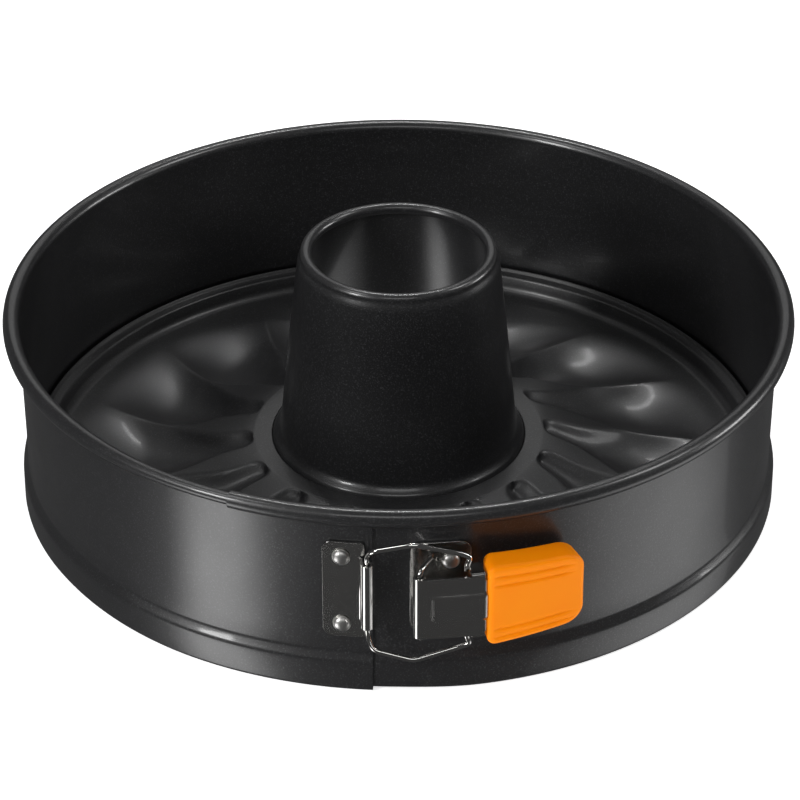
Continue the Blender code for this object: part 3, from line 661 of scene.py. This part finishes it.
staple_path = [*staple_end(1), *reversed(staple_end(-1))]
pivot_finish = plated_steel("pivot bright wire", "#d8d7d4", 0.13)
pivot_wire = bent_wire("pivot_staple", staple_path, 2.7 * MM, pivot_finish)
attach(pivot_wire, "ring")
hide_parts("pivot_wire")


# Bail wire. A six-sided loop of 1.7 mm bright steel wire: its long side turns in the
# catch's curl, the top and bottom rise to a peak, and the two ends are turned in to
# hook behind the lever's flanges.
HOOK_X, HOOK_OUT = 21.6 * MM, 8.2 * MM
PEAK, PEAK_SHARE = 22.1 * MM, 0.47  # height over the middle, place from knuckle to hook
SHOULDER = 18.9 * MM
hook = RING_AXIS + Vector((HOOK_X, -(CLASP_RADIUS + HOOK_OUT), CLASP_Z))
run = hook - knuckle
ahead = run.normalized()
up = Vector((0, 0, 1))
bow = Vector((0, -2.8 * MM, 0))  # the loop's middle bends outwards

# Its upper half, from the hooked end over the peak and down into the catch's curl
half_loop = [
    hook + up * 11.5 * MM,
    hook + up * 13.9 * MM,
    hook + up * 16.45 * MM + ahead * 1.19 * MM,
    hook + up * 17.81 * MM - ahead * 2.04 * MM,
    knuckle + run * PEAK_SHARE + up * PEAK + bow,
    knuckle + up * SHOULDER + ahead * 1.7 * MM + bow,
    knuckle + up * 14.8 * MM,
]
mirrored = [Vector((p.x, p.y, 2 * CLASP_Z - p.z)) for p in reversed(half_loop)]
bail_finish = plated_steel("bail bright wire", "#dddcd9", 0.1)
bail = bent_wire("bail_loop", half_loop + mirrored, 2.2 * MM, bail_finish)
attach(bail, "bail")
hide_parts("bail_wire")


# Lever arm. Pressed and nickel plated, with a raised panel, a curl that turns on the
# pivot wire, two side flanges notched for the bail's hooks, and a narrower tongue that
# runs on inside the grip.
LEVER_FACE = 13.3 * MM
LEVER_HALF, TONGUE_HALF = 11.2 * MM, 9.6 * MM
FLANGE_FROM, FLANGE_TO = 21.1 * MM, 24.9 * MM
FLANGE_BEND, FLANGE_DEPTH = 0.6 * MM, 6.4 * MM
LEVER_TURN, LEVER_TURN_STEPS = 330 * DEG, 28  # its curl round the pivot wire
PANEL_RISE = 0.7 * MM
PANEL_FROM, PANEL_HALF = 8.8 * MM, 5.4 * MM  # where the panel's slopes start
TONGUE_END, TONGUE_DROP = 51.0 * MM, 2.5 * MM
GRIP_FROM, GRIP_TO, GRIP_BACK, GRIP_FRONT = 25.6 * MM, 55.8 * MM, 5.3 * MM, 15.2 * MM
GRIP_LEAN = 2.4 * MM
pin_angle = math.asin(lever_pin.x / (CLASP_RADIUS + LEVER_FACE - CURL))
lever_columns = sweep(pin_angle * CLASP_RADIUS, FLANGE_TO, 40)
lever_rows = sweep(-LEVER_HALF, LEVER_HALF, 56)
tongue_shares = (0, 0.025, 0.06, 0.1, 0.3, 0.5, 0.75, 1)
tongue_columns = [between(FLANGE_TO, TONGUE_END, share) for share in tongue_shares]
tongue_rows = sweep(-TONGUE_HALF, TONGUE_HALF, 48)


def panel_rise(s, z):
    side = eased((PANEL_HALF - abs(z)) / (1.4 * MM))
    return PANEL_RISE * side * eased((s - PANEL_FROM) / (2.2 * MM))


def lever_face(i, j):
    s, z = lever_columns[i], lever_rows[j]
    return upright(s, LEVER_FACE + panel_rise(s, z), z)


def lever_curl(i, j):
    angle = math.pi / 2 - pin_angle + LEVER_TURN * i / LEVER_TURN_STEPS
    return round_pin(lever_pin, angle, lever_rows[j])


def lean(s):
    """How far the grip and the tongue in it have come towards the wall at s."""
    return GRIP_LEAN * max(0.0, (s - GRIP_FROM) / (GRIP_TO - GRIP_FROM))


def lever_tongue(i, j):
    s, z = tongue_columns[i], tongue_rows[j]
    sunk = eased((s - FLANGE_TO) / (3 * MM))
    out = LEVER_FACE - TONGUE_DROP * sunk - lean(s) + panel_rise(s, z) * (1 - sunk)
    return upright(s, out, z)


def flange_bend(i, j, side):
    a = 90 * DEG * j / 5
    out = LEVER_FACE - FLANGE_BEND * (1 - math.cos(a))
    z = LEVER_HALF + FLANGE_BEND * math.sin(a)
    return upright(between(FLANGE_FROM, FLANGE_TO, i / 4), out, side * z)


def flange_outline():
    """Arc length and distance out of a flange's corners, round the notch for a hook."""
    hook_s = math.atan2(HOOK_X, CLASP_RADIUS + HOOK_OUT) * CLASP_RADIUS
    hook_out = math.hypot(HOOK_X, CLASP_RADIUS + HOOK_OUT) - CLASP_RADIUS
    notch = WIRE / 2 + GAP
    low = LEVER_FACE - FLANGE_DEPTH
    outline = [(s, LEVER_FACE - FLANGE_BEND) for s in sweep(FLANGE_TO, FLANGE_FROM, 4)]
    outline += arc(hook_s, hook_out, notch, range(46, -63, -9))
    outline += [(hook_s + 0.3 * notch, low + 0.3 * MM), (hook_s + 0.6 * notch, low)]
    return [*outline, (FLANGE_TO, low)]


bm = bmesh.new()
pressed_sheet(bm, len(lever_columns) - 1, len(lever_rows) - 1, lever_face)
pressed_sheet(bm, LEVER_TURN_STEPS, len(lever_rows) - 1, lever_curl)
pressed_sheet(bm, len(tongue_columns) - 1, len(tongue_rows) - 1, lever_tongue)
for side in (1, -1):
    pressed_sheet(bm, 4, 5, lambda i, j: flange_bend(i, j, side))
    flange_z = side * (LEVER_HALF + FLANGE_BEND)
    bm.faces.new([bm.verts.new(upright(s, out, flange_z)) for s, out in flange_outline()])
lever = mesh_piece("lever_pressing", bm, plated_steel("lever nickel plate", "#bdbcb9", 0.2), 40)
thicken(lever, PLATE)
soften(lever, 0.15 * MM)
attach(lever, "lever")
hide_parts("lever_arm")


# Grip. A moulded silicone sleeve, 10 mm thick, pushed over the lever's tongue. Its far
# corners are well rounded, all its edges are soft, and pairs of shallow grooves run along
# it above and below the bare middle field.
GRIP_HALF, GRIP_TAPER = 15.0 * MM, 2.2 * MM
GRIP_EDGE = 1.8 * MM
FAR_CORNER, NEAR_CORNER = 6.5 * MM, 2.6 * MM
GROOVES = (11.0 * MM, 7.7 * MM, -9.2 * MM, -12.2 * MM)
GROOVE_HALF, GROOVE_DEPTH = 1.15 * MM, 0.55 * MM
CROWN = 0.35 * MM
grip_length, grip_depth = GRIP_TO - GRIP_FROM, GRIP_FRONT - GRIP_BACK


def moulded_silicone(name):
    """Pigmented silicone rubber: strong orange with a soft sheen, light passing a little
    way in at the edges, and a fine matt texture from the mould, about 0.25 mm."""
    made = new_material(
        name,
        Roughness=0.48,
        IOR=1.42,
        Specular_IOR_Level=0.15,
        Subsurface_Weight=0.12,
        Subsurface_Radius=(1.0, 0.35, 0.08),
        Subsurface_Scale=1.5 * MM,
    )
    tree = made.node_tree
    place = object_place(tree)
    matt = noise(tree, place, 4000, 2)
    drift = noise(tree, place, 60, 2)
    set_inputs(
        shader_of(made),
        Base_Color=blended_colour(tree, drift, "#fb8f00", "#f88400"),
        Normal=bumps(tree, matt, 0.1, 0.04 * MM),
    )
    return made


def grip_block(bm):
    """A straight block with its corners and edges rounded."""
    middle = Vector(((GRIP_FROM + GRIP_TO) / 2, (GRIP_BACK + GRIP_FRONT) / 2, 0))
    block_size = Matrix.Diagonal((grip_length, grip_depth, 2 * GRIP_HALF, 1))
    bmesh.ops.create_cube(bm, size=1, matrix=Matrix.Translation(middle) @ block_size)
    rounding = {"profile": 0.5, "affect": "EDGES", "material": -1}
    for end, radius in ((GRIP_TO, FAR_CORNER), (GRIP_FROM, NEAR_CORNER)):
        corners = [
            e
            for e in bm.edges
            if all(abs(v.co.x - end) < 0.01 * MM for v in e.verts)
            and abs(e.verts[0].co.y - e.verts[1].co.y) > 0.5 * grip_depth
        ]
        bmesh.ops.bevel(bm, geom=corners, offset=radius, segments=10, **rounding)
    rims = [e for e in bm.edges if e.calc_face_angle(0) > 60 * DEG]
    bmesh.ops.bevel(bm, geom=rims, offset=GRIP_EDGE, segments=6, **rounding)


def slice_grip(bm):
    """Cuts the block's faces finely enough to bend, and most finely at the grooves."""
    columns = [GRIP_FROM + 1.7 * MM * n for n in range(1, 20)]
    rows = [centre + n * 0.2 * MM for centre in GROOVES for n in range(-6, 7)]
    rows += [n * 1.5 * MM for n in range(-5, 4)]
    cuts = [(Vector((s, 0, 0)), (1, 0, 0)) for s in columns]
    cuts += [(Vector((0, 0, z)), (0, 0, 1)) for z in rows]
    for at, facing in cuts:
        whole = [*bm.verts, *bm.edges, *bm.faces]
        bmesh.ops.bisect_plane(bm, geom=whole, dist=0.01 * MM, plane_co=at, plane_no=facing)


def grip_place(s, out, z):
    """Sinks the grooves, crowns the front, tapers the block and bends it to the ring."""
    near_end = eased((s - GRIP_FROM - 0.8 * MM) / (3 * MM))
    far_end = eased((GRIP_TO - 2.5 * MM - s) / (5 * MM))
    sunk = sum(max(0.0, 1 - abs(z - g) / GROOVE_HALF) ** 1.5 for g in GROOVES)
    if out > GRIP_FRONT - 1.0 * MM:
        out -= GROOVE_DEPTH * near_end * far_end * min(1.0, sunk)
    if out > (GRIP_BACK + GRIP_FRONT) / 2:
        out += CROWN * ((abs(z) / GRIP_HALF) ** 2 - 0.5)
    taper = 1 - GRIP_TAPER / GRIP_HALF * (s - GRIP_FROM) / grip_length
    return upright(s, out - lean(s), z * taper)


bm = bmesh.new()
grip_block(bm)
slice_grip(bm)
for v in bm.verts:
    v.co = grip_place(*v.co)
grip = mesh_piece("grip_sleeve", bm, moulded_silicone("orange moulded silicone"), 180)
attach(grip, "lever")
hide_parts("grip")


# Studio. A white paper floor that glows a little, small soft lights above and all round,
# and two fading cards below the floor's level, seen in shiny surfaces only, that draw the
# tall pale bands on the wall. The camera is the one fitted to the photograph.
WHITE = (1, 1, 1, 1)
CAMERA_RISE = 31.6 * DEG
CAMERA_REACH = 1.3
CARD_AIM = 0.04  # height that the cards face
bm = bmesh.new()
bmesh.ops.create_grid(bm, x_segments=1, y_segments=1, size=3)
paper = new_material(
    "pale paper",
    Base_Color=linear("#f4f4f4"),
    Roughness=0.9,
    Emission_Color=WHITE,
    Emission_Strength=0.7,
)
floor = new_object("floor", bm, paper)
floor.visible_glossy = False


def soft_light(name, place_at, aim_height, width, height, watts):
    lamp = bpy.data.lights.new(name, "AREA")
    lamp.shape = "RECTANGLE"
    lamp.size, lamp.size_y = width, height
    lamp.energy = watts
    light = bpy.data.objects.new(name, lamp)
    light.location = place_at
    ray = Vector((0, 0, aim_height)) - Vector(place_at)
    light.rotation_euler = ray.to_track_quat("-Z", "Y").to_euler()
    bpy.context.scene.collection.objects.link(light)


soft_light("overhead_softbox", (0.0, 0.5, 1.3), 0, 1.0, 0.3, 1.6)
soft_light("top_strip", (0.0, 0.75, 1.35), 0, 0.6, 0.03, 6)
soft_light("left_softbox", (-1.0, -0.82, 0.66), 0.04, 0.24, 0.5, 10)
soft_light("back_softbox", (0.0, 1.7, 1.1), 0.02, 1.8, 0.6, 2.2)
soft_light("upper_left_softbox", (-0.65, -0.25, 1.15), 0.04, 0.3, 0.36, 2)
soft_light("upper_right_softbox", (0.85, 0.0, 1.0), 0.04, 0.3, 0.36, 3)
soft_light("right_strip", (1.2, 0.2, 0.3), 0.04, 0.4, 0.3, 4)
soft_light("front_fill", (0.0, -1.2, 1.15), 0.04, 0.9, 0.4, 3)


def reflector_card(name, azimuth, reach, wide, tall, strength):
    """A card that glows most in its middle, faces the pan from below the floor's level,
    and is seen by shiny surfaces only."""
    bm = bmesh.new()
    bmesh.ops.create_grid(bm, x_segments=16, y_segments=8, size=0.5)
    fading = bm.verts.layers.float.new("fading")
    for v in bm.verts:
        v[fading] = eased((1 - abs(2 * v.co.x)) * 1.2) * eased((1 - abs(2 * v.co.y)) * 2)
    bmesh.ops.scale(bm, verts=bm.verts, vec=(wide, tall, 1))
    tilt = Matrix.Rotation(math.pi / 2 + CAMERA_RISE, 4, "X")
    spin = Matrix.Rotation(azimuth * DEG, 4, "Z")
    drop = CARD_AIM - reach * math.sin(CAMERA_RISE)
    away = spin @ Vector((0, -reach * math.cos(CAMERA_RISE), drop))
    bmesh.ops.transform(bm, verts=bm.verts, matrix=Matrix.Translation(away) @ spin @ tilt)
    glow = new_material(name, Emission_Color=WHITE)
    tree = glow.node_tree
    part = add_node(tree, "ShaderNodeAttribute", {"attribute_name": "fading"}).outputs["Fac"]
    set_inputs(shader_of(glow), Emission_Strength=ranged(tree, part, (0, 1), (0, strength)))
    glow.cycles.emission_sampling = "NONE"
    card = new_object(name, bm, glow)
    card.visible_camera = card.visible_diffuse = card.visible_shadow = False


reflector_card("left_reflector", -50, 0.7, 0.36, 0.4, 4.6)
reflector_card("right_reflector", 76, 0.7, 0.8, 0.4, 1.1)

world = bpy.data.worlds.new("studio")
world.use_nodes = True
set_inputs(world.node_tree.nodes["Background"], Color=WHITE, Strength=0.07)
bpy.context.scene.world = world
bpy.context.scene.view_settings.view_transform = "Standard"

camera_data = bpy.data.cameras.new("camera")
camera_data.lens = 167.7
camera_data.sensor_width = 36
camera_data.clip_end = 20
camera = bpy.data.objects.new("camera", camera_data)
bpy.context.scene.collection.objects.link(camera)
aim = RING_AXIS + Vector((0.5 * MM, 0, 29.5 * MM))
away = Vector((0, -math.cos(CAMERA_RISE), math.sin(CAMERA_RISE)))
camera.location = aim + CAMERA_REACH * away
camera.rotation_euler = (math.pi / 2 - CAMERA_RISE, 0, 0)
bpy.context.scene.camera = camera
